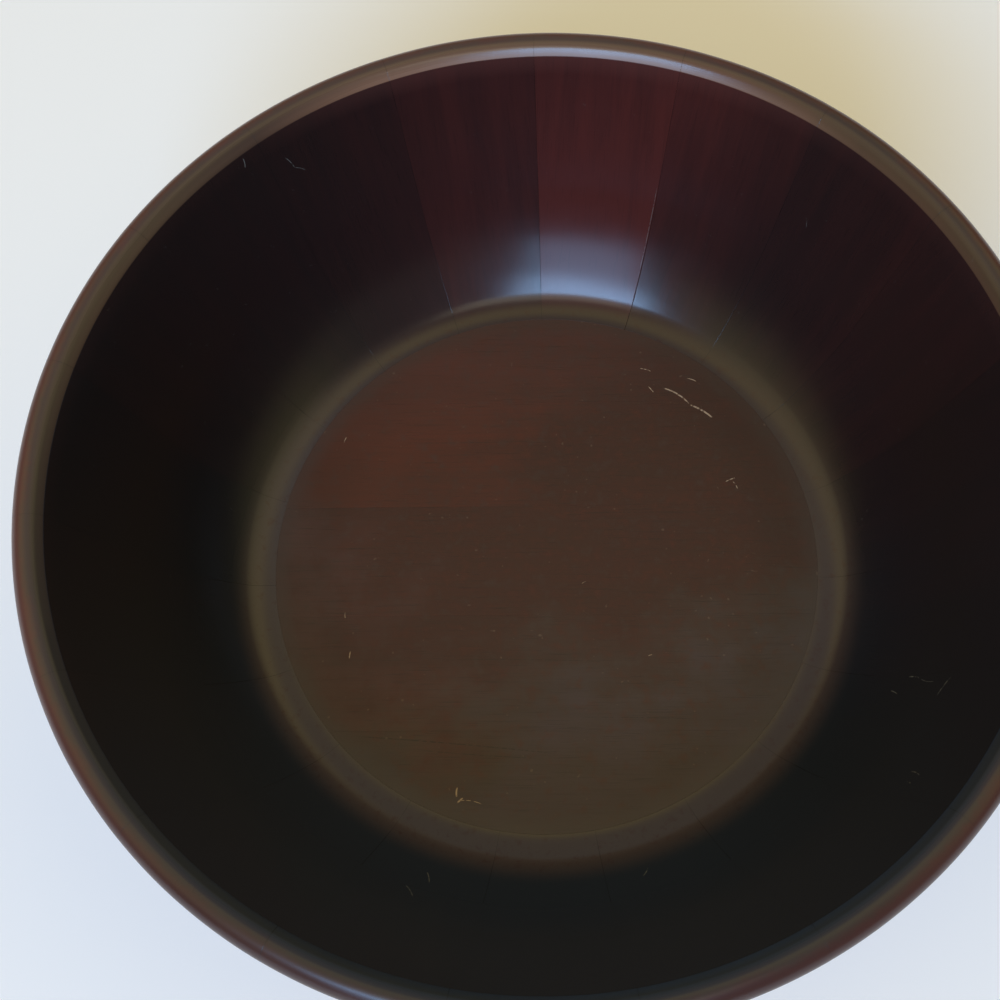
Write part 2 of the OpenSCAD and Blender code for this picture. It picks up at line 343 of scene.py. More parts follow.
def rounded(first, second, reach):
    """Two runs that meet at a corner, cut back by reach and joined by the parabola that touches both."""
    corner = first[-1]
    first = first[np.linalg.norm(first - corner, axis=1) > reach]
    second = second[np.linalg.norm(second - corner, axis=1) > reach]
    share = np.linspace(0, 1, 12)[1:-1, None]
    bend = (1 - share) ** 2 * first[-1] + 2 * share * (1 - share) * corner + share ** 2 * second[0]
    half = len(bend) // 2
    return np.concatenate([first, bend[:half]]), np.concatenate([bend[half:], second])


def normals_of(path):
    """Unit normals of a path, to the left of the way it runs."""
    along = np.gradient(path, axis=0)
    left = np.stack([-along[:, 1], along[:, 0]], axis=1)
    return left / np.linalg.norm(left, axis=1)[:, None]


def lengths_of(path):
    """Distance run along a path at each of its points."""
    return np.r_[0, np.cumsum(np.linalg.norm(np.diff(path, axis=0), axis=1))]


def quads(rows, cols, wrap_rows=False, wrap_cols=False):
    """Corner indices of the cells of a grid of rows by cols points, closed round where it wraps."""
    i = np.arange(rows if wrap_rows else rows - 1)[:, None]
    j = np.arange(cols if wrap_cols else cols - 1)[None]
    i2, j2 = (i + 1) % rows, (j + 1) % cols
    return np.stack([i * cols + j, i * cols + j2, i2 * cols + j2, i2 * cols + j], axis=-1).reshape(-1, 4)


def ripple(across, along, seed):
    """Slow unevenness of a hand-finished surface, from -1 to 1: the mean of five sine waves of drawn
    sizes."""
    rng = np.random.default_rng(seed)
    waves = rng.uniform(60, 260, (5, 2)) * rng.choice([-1, 1], (5, 2))
    phases = rng.uniform(0, 2 * math.pi, 5)
    angle_of = across[..., None] * waves[:, 0] + along[..., None] * waves[:, 1] + phases
    return np.sin(angle_of).mean(-1)


def make_piece(name, points, faces, material, stands_for, values=None, grain=None):
    """A closed mesh from arrays of points and faces, with point values and a grain map, riding on the bowl.

    Doubled points are merged, the faces are turned outwards, and edges sharper than the limit stay
    crisp."""
    mesh = bpy.data.meshes.new(name)
    mesh.from_pydata(points.reshape(-1, 3).tolist(), [], faces)
    for key, value in (values or {}).items():
        layer = mesh.attributes.new(key, "FLOAT", "POINT")
        layer.data.foreach_set("value", np.ascontiguousarray(value, np.float32).reshape(-1))
    if grain is not None:
        corner = np.empty(len(mesh.loops), np.int32)
        mesh.loops.foreach_get("vertex_index", corner)
        layer = mesh.uv_layers.new(name="grain")
        layer.data.foreach_set("uv", grain.reshape(-1, 2)[corner].astype(np.float32).reshape(-1))
    shell = bmesh.new()
    shell.from_mesh(mesh)
    bmesh.ops.remove_doubles(shell, verts=shell.verts, dist=1e-7)
    bmesh.ops.dissolve_degenerate(shell, edges=shell.edges, dist=1e-8)
    bmesh.ops.recalc_face_normals(shell, faces=shell.faces)
    shell.to_mesh(mesh)
    shell.free()
    mesh.polygons.foreach_set("use_smooth", np.ones(len(mesh.polygons), bool))
    mesh.set_sharp_from_angle(angle=math.radians(CREASE))
    mesh.materials.append(material)
    piece = bpy.data.objects.new(name, mesh)
    bpy.context.scene.collection.objects.link(piece)
    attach(piece, "root")
    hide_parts(*stands_for)
    return piece


def turned_piece(name, path, material, stands_for, closed=False, sides=144, shrink=None):
    """A lathe-turned solid: each point of the path goes round Z, x = r cos a and y = r sin a.

    shrink, a function of the angle, the radius and the height, takes a little off the radius."""
    turn = np.linspace(0, 2 * math.pi, sides, endpoint=False)
    radius = np.repeat(path[:, :1], sides, axis=1)
    height = np.repeat(path[:, 1:], sides, axis=1)
    if shrink is not None:
        radius = radius - shrink(turn[None], radius, height)
    points = np.stack([radius * np.cos(turn), radius * np.sin(turn), height], axis=-1)
    faces = quads(len(path), sides, wrap_rows=closed, wrap_cols=True)
    return make_piece(name, points, faces.tolist(), material, stands_for)


# Outlines of the bowl


def wall_frame(sizes):
    """Centres and tangent points of the wall's section, found as in a drawing.

    The wall is two lines square to out, one wall thickness apart. The lip, the eased cove and the heel are
    arcs that touch them, so each arc's centre follows from its distance to the outer line."""
    out = np.array([math.cos(sizes.flare), -math.sin(sizes.flare)])
    up = np.array([math.sin(sizes.flare), math.cos(sizes.flare)])
    lip_r = sizes.wall_thickness / 2 + sizes.lip_extra
    lip = np.array([sizes.rim_radius - lip_r, sizes.crown_height - lip_r])

    def centre(inset, z):
        return np.array([lip[0] + (lip_r - inset + (z - lip[1]) * up[0]) / up[1], z])

    apart = sizes.ease_radius - sizes.cove_radius
    ease = centre(sizes.ease_radius + sizes.wall_thickness,
                  sizes.floor_height + sizes.cove_radius + apart * math.cos(sizes.ease_turn))
    cove = ease + apart * np.array([math.sin(sizes.ease_turn), -math.cos(sizes.ease_turn)])
    heel = centre(sizes.heel_radius, sizes.underside_height + sizes.heel_radius)
    inward = lip_r - sizes.wall_thickness
    bevel_in = lip + inward * out + (math.sqrt(lip_r**2 - inward**2) - sizes.bevel_drop) * up
    along = np.array([math.cos(sizes.bevel_rise), math.sin(sizes.bevel_rise)])
    short = (bevel_in - lip) @ along
    reach = math.sqrt(short**2 - (bevel_in - lip) @ (bevel_in - lip) + lip_r**2) - short
    return {"out": out, "up": up, "lip_r": lip_r, "lip": lip, "ease": ease, "cove": cove, "heel": heel,
            "bevel_in": bevel_in, "bevel_top": bevel_in + reach * along,
            "floor_r": cove[0], "step_r": cove[0] + sizes.rebate_width}


def wall_outline(sizes):
    """Closed section of a stave as (radius, height) points, a share at each, and two numbers of points.

    It runs from the toe up the two arcs of the cove and the inner wall, over the bevel and the lip, whose
    corner is rounded, down the outside, round the heel and back through the rebate that holds the floor.
    The share rises from 0 to 1 over the bevel and the lip. One number counts the points below the bevel,
    and the other those up to the end of the lip."""
    f = wall_frame(sizes)
    flare, split = math.degrees(sizes.flare), math.degrees(sizes.ease_turn)
    top = f["bevel_top"] - f["lip"]
    heel_end = f["heel"] + sizes.heel_radius * f["out"]
    rebate_z = sizes.underside_height + sizes.rebate_height
    steps = SECTION_STEPS
    cove = arc(f["cove"], sizes.cove_radius, -89.9, split - 90, steps["cove"])
    ease = arc(f["ease"], sizes.ease_radius, split - 90, -flare, steps["ease"])[1:]
    inner = run(ease[-1], f["bevel_in"] - WALL_SHORT * f["up"], steps["inner"])[1:]
    bevel = bowed(f["bevel_in"], f["bevel_top"], BEVEL_BOW, steps["bevel"])
    lip = arc(f["lip"], f["lip_r"], math.degrees(math.atan2(top[1], top[0])), -flare, steps["lip"])[1:]
    bevel, lip = rounded(bevel, lip, CREST_ROUND)
    outer = run(lip[-1], heel_end, steps["outer"])[1:]
    heel = arc(f["heel"], sizes.heel_radius, -flare, -90, steps["heel"])[1:]
    foot = path_of(run(heel[-1], (f["step_r"], sizes.underside_height), 3)[1:],
                   (f["step_r"], rebate_z), (f["floor_r"], rebate_z),
                   run((f["floor_r"], rebate_z), (f["floor_r"], sizes.floor_height - TOE_DROP), 3)[1:])
    path = np.concatenate([cove, ease, inner, bevel, lip, outer, heel, foot])
    inside = len(cove) + len(ease) + len(inner)
    crest = lengths_of(np.concatenate([bevel, lip]))
    over = np.ones(len(path))
    over[:inside] = 0
    over[inside:inside + len(crest)] = crest / crest[-1]
    return path, over, inside, inside + len(crest)


def stave_points(first, last, path, inside, lines, seed):
    """Points of one stave between two joint angles, with its grain map, its distance to the nearer joint in
    mm and the share of the way across it.

    Each row is a point of the section carried along an arc. lines holds, for both joints, the width of the
    glue line and its depth at each row. There the columns stand at set distances from the joint's plane and
    sink below the surface, which leaves a fine V. The inside and the lip are a little uneven, always
    inwards."""
    inward = -normals_of(np.concatenate([path[-1:], path, path[:1]]))[1:-1]
    middle, half = (first + last) / 2, (last - first) / 2
    radius = path[:, :1]
    near, far = (LINE_STEPS * width for width, depth in lines)
    sunk = [LINE_FALL * depth[:, None] for width, depth in lines]
    low, high = -half + near[-1] / radius, half - far[-1] / radius
    share = np.linspace(0, 1, STAVE_COLUMNS)[None, 1:-1]
    turn = np.concatenate(
        [-half + near / radius, low + (high - low) * share, (half - far / radius)[:, ::-1]], axis=1)
    sink = np.concatenate([sunk[0], np.zeros((len(path), share.shape[1])), sunk[1][:, ::-1]], axis=1)
    along = lengths_of(path)[:, None] + 0 * turn
    across = radius * turn
    row = np.arange(len(path))[:, None]
    inner = (row < inside) * np.clip((row - 2) / 10, 0, 1)
    sink = sink + inner * UNEVEN * (1 + ripple(across, along, seed))
    section_r = radius + inward[:, :1] * sink
    section_z = path[:, 1:] + inward[:, 1:] * sink
    round_z = middle + turn
    points = np.stack([section_r * np.cos(round_z), section_r * np.sin(round_z), section_z], axis=-1)
    joint = np.minimum(half + turn, half - turn) * radius / MM
    return points, np.stack([across, along], axis=-1), joint, (half + turn) / (2 * half)


def board_points(sizes, index, count, ease):
    """Points and faces of one floor board, a strip of a stepped disc.

    A point at share s of the chord and t of the strip's width is y = low + t (high - low) and x = s
    sqrt(r^2 - y^2), turned with the boards. The top and the bottom are whole grids, and three rings between
    them make the stepped edge."""
    f = wall_frame(sizes)
    gap = sizes.glue_gap
    face_r, step_r = f["floor_r"] - FACE_GAP * gap, f["step_r"] - gap
    rebate_z = sizes.underside_height + sizes.rebate_height - gap
    width = 2 * f["step_r"] / count
    low, high = -f["step_r"] + index * width, -f["step_r"] + (index + 1) * width
    rows, cols = 26, 61
    t = np.linspace(0, 1, rows)[:, None]
    t = 1 - np.cos(t * math.pi / 2) if index == 0 else np.sin(t * math.pi / 2) if index == count - 1 else t
    s = np.sin(np.linspace(-1, 1, cols) * math.pi / 2)[None]
    levels = ((face_r - ease, sizes.floor_height, ease), (face_r, sizes.floor_height - ease, 0.2 * ease),
              (face_r, rebate_z, 0), (step_r, rebate_z, 0), (step_r, sizes.underside_height, 0))

    def level(r, z, inset):
        y0, y1 = max(low + inset, -r), min(high - inset, r)
        y = y0 + t * (y1 - y0) + 0 * s
        x = s * np.sqrt(np.maximum(r * r - y * y, 0))
        cos_t, sin_t = math.cos(sizes.board_turn), math.sin(sizes.board_turn)
        turned = [x * cos_t - y * sin_t, x * sin_t + y * cos_t, np.full_like(x, z)]
        return np.stack(turned, axis=-1).reshape(-1, 3)

    cell = np.arange(rows * cols).reshape(rows, cols)
    edge = np.concatenate([cell[0], cell[1:, -1], cell[-1, -2::-1], cell[-2:0:-1, 0]])
    grids = [level(*each) for each in levels]
    points = np.concatenate([grids[0]] + [g[edge] for g in grids[1:-1]] + [grids[-1]])
    total, around = rows * cols, len(edge)
    rings = [edge] + [total + k * around + np.arange(around) for k in range(3)] + [total + 3 * around + edge]
    top = quads(rows, cols)
    sides = [np.stack([a, np.roll(a, -1), np.roll(b, -1), b], axis=1) for a, b in zip(rings, rings[1:])]
    bottom = top[:, ::-1] + total + 3 * around
    return points, np.concatenate([top, *sides, bottom])


def stem_outline(sizes, under, collar, seat):
    """Section of the stem from the screw's hole to the top of its upper tenon.

    Two arcs stand upright at the waist, and each ends at the neck beside a half-round bead. The radius of
    such an arc is (rise^2 + drop^2) / (2 rise)."""
    bead = sizes.bead_height / 2
    waist = seat + sizes.stem_waist_height
    foot_r, top_r = sizes.stem_foot_radius - bead, sizes.stem_top_radius - bead
    foot_z, top_z = seat + 2 * bead, collar - 2 * bead

    def bend(rise, drop):
        return (rise**2 + drop**2) / (2 * rise)

    low = bend(foot_r - sizes.stem_waist_radius, waist - foot_z)
    high = bend(top_r - sizes.stem_waist_radius, top_z - waist)
    low_turn = math.degrees(math.asin((waist - foot_z) / low))
    high_turn = math.degrees(math.asin((top_z - waist) / high))
    tip = seat - sizes.tenon_length + sizes.screw_bite
    end = seat - sizes.tenon_length
    return eased(path_of(
        (0, tip), (sizes.screw_radius, tip - SCREW_TIP), (sizes.screw_radius, end), (sizes.tenon_radius, end),
        (sizes.tenon_radius, seat), (foot_r, seat), arc((foot_r, seat + bead), bead, -90, 90, 20),
        arc((sizes.stem_waist_radius + low, waist), low, 180 + low_turn, 180, 24),
        arc((sizes.stem_waist_radius + high, waist), high, 180, 180 - high_turn, 20)[1:],
        arc((top_r, collar - bead), bead, -90, 90, 20), (top_r, collar), (sizes.tenon_radius, collar),
        (sizes.tenon_radius, under - FIT_GAP), (0, under - FIT_GAP)), STEM_EASE)


def base_outline(sizes, foot, seat):
    """Closed section of the base: mortise, dome, step, half-round edge, underside and recess for the
    screw."""
    edge_r = sizes.base_radius - sizes.base_edge / 2
    edge_z = foot + sizes.base_edge
    dome_r = sizes.base_radius - sizes.base_step
    rise, drop = seat - edge_z, dome_r - sizes.stem_foot_radius
    bend = (rise**2 + drop**2) / (2 * rise)
    lean = math.degrees(math.asin(drop / bend))
    web = seat - sizes.tenon_length - FIT_GAP
    mortise = sizes.tenon_radius + FIT_GAP
    cone = foot + sizes.screw_recess + sizes.screw_head_radius - sizes.screw_radius
    return eased(path_of(
        (sizes.screw_radius, cone), (sizes.screw_radius, web), (mortise, web), (mortise, seat),
        (sizes.stem_foot_radius, seat),
        arc((sizes.stem_foot_radius, seat - bend), bend, 90, 90 - lean, 26)[1:],
        (edge_r, edge_z), arc((edge_r, foot + sizes.base_edge / 2), sizes.base_edge / 2, 90, -90, 20)[1:],
        (sizes.screw_head_radius, foot), (sizes.screw_head_radius, foot + sizes.screw_recess)), BASE_EASE)


# Finishes


class Nodes:
    """Short ways to add nodes to a tree. A link is a node's output, and anything else is a set value."""

    def __init__(self, tree):
        self.tree = tree

    def put(self, socket, value):
        if isinstance(value, bpy.types.NodeSocket):
            self.tree.links.new(value, socket)
        elif value is not None:
            socket.default_value = value

    def add(self, kind, inputs=(), **settings):
        node = self.tree.nodes.new(kind)
        for key, value in settings.items():
            setattr(node, key, value)
        for key, value in dict(inputs).items():
            self.put(node.inputs[key], value)
        return node

    def math(self, operation, a, b=None, c=None, clamp=False):
        return self.add("ShaderNodeMath", {0: a, 1: b, 2: c}, operation=operation, use_clamp=clamp).outputs[0]

    def plus(self, a, b):
        return self.math("ADD", a, b)

    def less(self, a, b):
        return self.math("SUBTRACT", a, b)

    def times(self, a, b, clamp=False):
        return self.math("MULTIPLY", a, b, clamp=clamp)

    def vector(self, operation, a, b=None):
        node = self.add("ShaderNodeVectorMath", {0: a, 1: b}, operation=operation)
        return node.outputs["Value" if operation in ("LENGTH", "DOT_PRODUCT") else "Vector"]

    def parts(self, where):
        return self.add("ShaderNodeSeparateXYZ", {0: where}).outputs

    def fit(self, value, low, high, to_low=0.0, to_high=1.0, smooth=False):
        ends = {"Value": value, "From Min": low, "From Max": high, "To Min": to_low, "To Max": to_high}
        kind = "SMOOTHSTEP" if smooth else "LINEAR"
        return self.add("ShaderNodeMapRange", ends, interpolation_type=kind).outputs["Result"]

    def mix(self, share, a, b):
        node = self.add("ShaderNodeMix", {"Factor": share}, data_type="RGBA")
        for socket, value in ((node.inputs[6], a), (node.inputs[7], b)):
            self.put(socket, value if isinstance(value, bpy.types.NodeSocket) else (*value, 1))
        return node.outputs[2]

    def value(self, name):
        return self.add("ShaderNodeAttribute", attribute_name=name).outputs["Fac"]

    def place(self):
        return self.add("ShaderNodeTexCoord").outputs["Object"]

    def stretched(self, where, scale, turn=0.0):
        inputs = {"Vector": where, "Rotation": (0, 0, turn), "Scale": scale}
        return self.add("ShaderNodeMapping", inputs).outputs["Vector"]

    def moved(self, where, name):
        """Places moved along Z by the number of the piece, so that each piece has its own grain."""
        shift = self.add("ShaderNodeCombineXYZ", {"Z": self.times(self.value(name), GRAIN_SHIFT)})
        return self.vector("ADD", where, shift.outputs[0])

    def noise(self, where, scale, detail, rough=0.55, distortion=0.0):
        """Noise stretched by a scale, one for all axes or one for each."""
        where = self.stretched(where, scale if isinstance(scale, tuple) else (scale, scale, scale))
        inputs = {"Vector": where, "Scale": 1.0, "Detail": detail, "Roughness": rough,
                  "Distortion": distortion}
        return self.add("ShaderNodeTexNoise", inputs).outputs["Fac"]

    def bump(self, height, strength, distance, after=None):
        inputs = {"Height": height, "Strength": strength, "Distance": distance, "Normal": after}
        return self.add("ShaderNodeBump", inputs).outputs["Normal"]


class Finish(Nodes):
    """A new material and its nodes."""

    sockets = {"colour": "Base Color", "rough": "Roughness", "normal": "Normal", "metal": "Metallic",
               "ior": "IOR", "specular": "Specular IOR Level", "sheen": "Sheen Weight",
               "sheen_rough": "Sheen Roughness"}

    def __init__(self, name):
        self.material = bpy.data.materials.new(name)
        self.material.use_nodes = True
        super().__init__(self.material.node_tree)

    def finish(self, **values):
        shader = self.tree.nodes["Principled BSDF"]
        for key, value in values.items():
            self.put(shader.inputs[self.sockets[key]], value)
        return self.material


def tint(shade, share):
    """A colour made lighter or darker."""
    return tuple(channel * share for channel in shade)


def scratch_tool():
    """A node group for one scratch on a plane: 1 along a bowed line of given middle, turn, length and
    width.

    In the line's own frame it is where |y - bow (1 - (2x / length)^2)| is under the width, fading to the
    ends."""
    tree = bpy.data.node_groups.get("scratch_line")
    if tree:
        return tree
    tree = bpy.data.node_groups.new("scratch_line", "ShaderNodeTree")
    for name, kind in (("Vector", "Vector"), ("Turn", "Float"), ("Length", "Float"), ("Width", "Float"),
                       ("Bow", "Float"), ("Middle", "Vector")):
        tree.interface.new_socket(name, in_out="INPUT", socket_type="NodeSocket" + kind)
    tree.interface.new_socket("Mask", in_out="OUTPUT", socket_type="NodeSocketFloat")
    n = Nodes(tree)
    given = n.add("NodeGroupInput").outputs
    offset = n.vector("SUBTRACT", given["Vector"], given["Middle"])
    spin = n.add("ShaderNodeVectorRotate", {"Vector": offset, "Angle": given["Turn"]},
                 rotation_type="Z_AXIS", invert=True)
    x, y, z = n.parts(spin.outputs[0])
    share = n.math("DIVIDE", x, given["Length"])
    end = n.math("MULTIPLY_ADD", n.times(share, share), -4.0, 1.0)
    off = n.math("ABSOLUTE", n.less(y, n.times(given["Bow"], end)))
    thin = n.less(1.4, n.math("DIVIDE", off, given["Width"]))
    fade = n.times(thin, n.times(end, 3.0))
    on_line = n.times(n.math("GREATER_THAN", end, 0.0), n.math("GREATER_THAN", thin, 0.0))
    n.add("NodeGroupOutput", {"Mask": n.times(on_line, fade, clamp=True)})
    return tree


# Scratches in mm: middle, turn in degrees, length, width and bow. Those on the wall and in the arris lie on
# the wall rolled out flat at one radius, where the middle is the azimuth in degrees from +Y and the height.
ROLLED_R = 128 * MM
FLOOR_SCRATCHES = (
    (54.5, 53.3, -43, 11.0, 0.42, 0.9), (62.2, 46.0, -42, 9.5, 0.50, 0.5),
    (45.6, 65.0, -25, 4.0, 0.22, 0.2), (61.0, 58.6, -30, 3.5, 0.22, 0.2),
    (46.2, 57.2, -60, 3.0, 0.24, 0.1), (67.3, 19.2, 15, 3.6, 0.24, 0.1),
    (68.6, 17.0, -70, 3.0, 0.22, 0.2), (-38.8, -73.6, 80, 3.2, 0.42, 0.2),
    (-38.2, -76.4, 35, 2.6, 0.40, 0.1), (-34.8, -77.4, -17, 7.0, 0.16, 0.5),
    (-68.7, -23.5, 75, 2.6, 0.26, 0.1), (-69.0, -9.6, 85, 2.0, 0.18, 0.1),
    (-63.0, 54.4, 60, 2.2, 0.18, 0.1), (12.0, -10.0, 20, 1.6, 0.14, 0.1),
    (-24.0, 30.0, -60, 1.8, 0.13, 0.1), (30.0, -38.0, 5, 1.8, 0.13, 0.1),
)
FLOOR_LINES = (
    (-38.0, -58.3, -13, 66.0, 0.30, 0.4), (-30.0, -62.5, -12, 40.0, 0.22, -0.3),
    (22.0, -58.0, -9, 38.0, 0.20, 0.2), (-10.0, -34.0, -9, 52.0, 0.18, 0.3),
    (34.0, 12.0, -8, 44.0, 0.18, 0.2), (-20.0, 47.0, -8, 48.0, 0.18, -0.3),
)
WALL_SCRATCHES = (
    (121.5, 117.9, 82, 4.6, 0.36, 0.2), (122.2, 124.9, 79, 7.2, 0.13, -0.4),
    (123.5, 134.6, 149, 6.6, 0.34, 0.4), (123.9, 111.9, 68, 3.4, 0.24, 0.2),
    (136.4, 143.6, 80, 5.2, 0.26, 0.3), (137.8, 143.6, 80, 2.4, 0.20, 0.1),
    (-152.2, 110.0, 135, 5.6, 0.28, 0.4), (-153.6, 101.5, 124, 4.7, 0.26, 0.3),
    (171.5, 97.5, 40, 3.6, 0.24, 0.2), (-33.1, 166.4, -103, 3.2, 0.22, 0.2),
    (-27.6, 157.8, -73, 5.2, 0.18, 0.3), (-26.6, 153.9, -45, 3.8, 0.12, 0.2),
    (49.6, 138.6, -65, 3.6, 0.09, 0.2), (26.3, 112.0, 90, 30.0, 0.13, 0.0),
)

# Lightness of the lip by azimuth in degrees from +Y, lighter on the far side and darker towards the near
# side;
# and bared wood on the arris inside it, pale where the window's highlight falls on the far lip, partly a
# painted highlight
LIP_LEVELS = (
    (-180, 0.45), (-135, 0.5), (-100, 0.95), (-30, 1.0), (-10, 1.12), (12, 1.14), (26, 1.0), (42, 0.75),
    (80, 0.75), (140, 0.6), (180, 0.45),
)
# Bared wood on the arris, strongest where the window's highlight falls on the far lip: partly a painted
# highlight
ARRIS_BARE_AND_GLINT = (
    (-180, 0.0), (-110, 0.08), (-60, 0.18), (-30, 0.15), (-14, 0.8), (0, 1.0), (24, 1.0), (38, 0.65),
    (52, 0.25), (80, 0.2), (110, 0.0), (180, 0.0),
)
LIP_NICKS = (
    (2.3, 170.6, 90, 2.6, 0.34, 0.1), (5.7, 170.2, 84, 1.8, 0.30, 0.1), (51.2, 170.8, 90, 1.6, 0.24, 0.1),
)


def marks_of(finish, where, rows):
    """All the scratches of a list as one mask: the largest of the masks of the single lines."""
    total = None
    for x, y, z, turned, long, wide, bow in rows:
        inputs = {"Vector": where, "Middle": (x, y, z), "Turn": math.radians(turned), "Length": long * MM,
                  "Width": wide * MM / 2, "Bow": bow * MM}
        line = finish.add("ShaderNodeGroup", node_tree=scratch_tool())
        for key, value in inputs.items():
            finish.put(line.inputs[key], value)
        total = line.outputs[0] if total is None else finish.math("MAXIMUM", total, line.outputs[0])
    return total


def ragged_of(finish, place):
    """Breaks in the scratches, from 0 to 1."""
    return finish.fit(finish.noise(place, 900, 2.0), 0.36, 0.52)


def grain_of(finish, where, fine, coarse):
    """Streaks of wood grain: two noises drawn out along one axis, and short dark pores in the same
    direction."""
    broad = finish.noise(where, coarse, 4.0, 0.6, 0.2)
    streak = finish.noise(where, fine, 5.0, 0.65)
    pore = finish.noise(where, tint(fine, 2.2), 2.0, 0.5)
    return broad, streak, finish.fit(pore, 0.60, 0.70)


def stave_finish(colours):
    """Red-brown stain under satin lacquer, each stave in its own tone, worn over the lip, with pale
    nicks."""
    f = Finish("stave_wood")
    over, wear, bared = (f.value(name) for name in ("over", "wear", "bared"))
    place = f.place()
    x, y, z = f.parts(place)
    grain = f.moved(f.add("ShaderNodeUVMap", uv_map="grain").outputs["UV"], "stave")
    broad, streak, pore = grain_of(f, grain, (1500, 45, 1), (150, 9, 1))
    patch = f.noise(place, 55, 5.0, 0.6)
    speck = f.noise(place, 420, 3.0, 0.6)

    # Inner wall
    share = f.plus(f.fit(broad, 0.3, 0.7, 0.78, 1.20), f.fit(streak, 0.3, 0.7, -0.10, 0.10))
    stain = f.mix(f.times(share, f.value("tone"), clamp=True), colours.wall_dark, colours.wall_red)
    stain = f.mix(f.times(pore, 0.22), stain, WALL_PORE)
    stain = f.mix(f.fit(speck, 0.69, 0.78, 0.0, 0.07), stain, colours.scuff)
    # Lighter red on the inner wall just below the crown, on the far side, by the share of the bared arris
    below_crown = f.fit(z, CROWN_Z - 9 * MM, CROWN_Z - 4 * MM, 0.0, 0.22)
    below_crown = f.times(below_crown, f.times(bared, f.math("LESS_THAN", over, 0.005)))
    stain = f.mix(below_crown, stain, tint(colours.lip_red, 1.5))

    # Bevel and lip
    worn = f.fit(over, 0.13, 0.30, smooth=True)
    # Brown starts early over the bevel on the far side: worn wood, and a painted highlight that warms the
    # window's reflection
    early = f.times(f.fit(over, 0.0, 0.10), f.fit(wear, 0.92, 1.08))
    brown = f.mix(f.fit(wear, 0.2, 1.4), tint(colours.lip_worn, 0.2), tint(colours.lip_worn, 1.4))
    stain = f.mix(f.math("MAXIMUM", worn, early), stain, brown)
    # Pale bared wood on the far bevel and crown, partly a painted highlight under the window's reflection
    bare_and_glint = f.times(f.fit(over, 0.34, 0.05), f.times(f.fit(over, 0.0, 0.01), bared))
    stain = f.mix(bare_and_glint, stain, colours.arris)
    red = f.mix(f.fit(wear, 0.2, 1.0), tint(colours.lip_red, 0.15), colours.lip_red)
    uneven = f.fit(f.plus(patch, f.times(speck, 0.5)), 0.45, 1.05, -0.10, 0.10)
    stain = f.mix(f.fit(f.plus(over, uneven), 0.28, 0.52, smooth=True), stain, red)

    # Painted grey reflection on the nearer staves, then the cove, outside and joints
    stain = f.mix(f.times(f.value("film"), f.fit(over, 0.1, 0.45, 0.9, 0.0)), stain, colours.near_gleam)
    # Cove: stain, greyer towards the near-left as a painted reflection of the room
    toe = f.mix(f.value("pale"), colours.toe, colours.toe_near_and_sheen)
    toe = f.mix(f.fit(speck, 0.55, 0.75, 0.0, 0.4), toe, colours.floor_brown)
    stain = f.mix(f.value("cove"), stain, toe)
    outside = f.mix(f.value("shade"), tint(colours.pedestal, 0.6), tint(colours.pedestal, 1.3))
    outside = f.mix(f.fit(broad, 0.35, 0.7, 0.0, 0.5), outside, tint(colours.pedestal, 0.45))
    outside = f.mix(f.fit(streak, 0.4, 0.7, 0.0, 0.6), outside, tint(colours.pedestal, 0.35))
    stain = f.mix(f.fit(over, 0.70, 0.99, smooth=True), stain, outside)
    seam = f.times(f.fit(f.value("joint"), 0.02, 0.14, 0.6, 0.0), f.fit(patch, 0.35, 0.6, 0.35, 1.0))
    stain = f.mix(seam, stain, WALL_SEAM)

    # Scratches on the wall rolled out flat, and nicks in the arris
    around = f.times(f.math("ARCTAN2", x, y), ROLLED_R)
    rolled = f.add("ShaderNodeCombineXYZ", {"X": around, "Y": z}).outputs[0]
    inside = f.times(ragged_of(f, place), f.math("LESS_THAN", over, 0.25))
    rows = [[(math.radians(a) * ROLLED_R, h * MM, 0, *rest) for a, h, *rest in marks]
            for marks in (WALL_SCRATCHES, LIP_NICKS)]
    marks, nicks = (f.times(marks_of(f, rolled, each), inside) for each in rows)
    stain = f.mix(f.times(marks, 0.6), stain, colours.scuff)

    smear = f.noise(place, (28, 28, 60), 4.0, 0.6)
    rough = f.plus(f.fit(smear, 0.3, 0.7, 0.19, 0.25), f.times(worn, 0.08))
    rough = f.plus(rough, f.times(f.times(bare_and_glint, f.fit(over, 0.16, 0.04)), 0.12))
    relief = f.less(f.times(streak, 0.5), f.times(pore, 0.5))
    normal = f.bump(f.less(relief, f.times(nicks, 8.0)), 0.05, 0.00010)
    normal = f.bump(f.noise(place, 190, 2.0), 0.04, 0.0004, normal)
    return f.finish(colour=stain, rough=rough, normal=normal, specular=0.35)


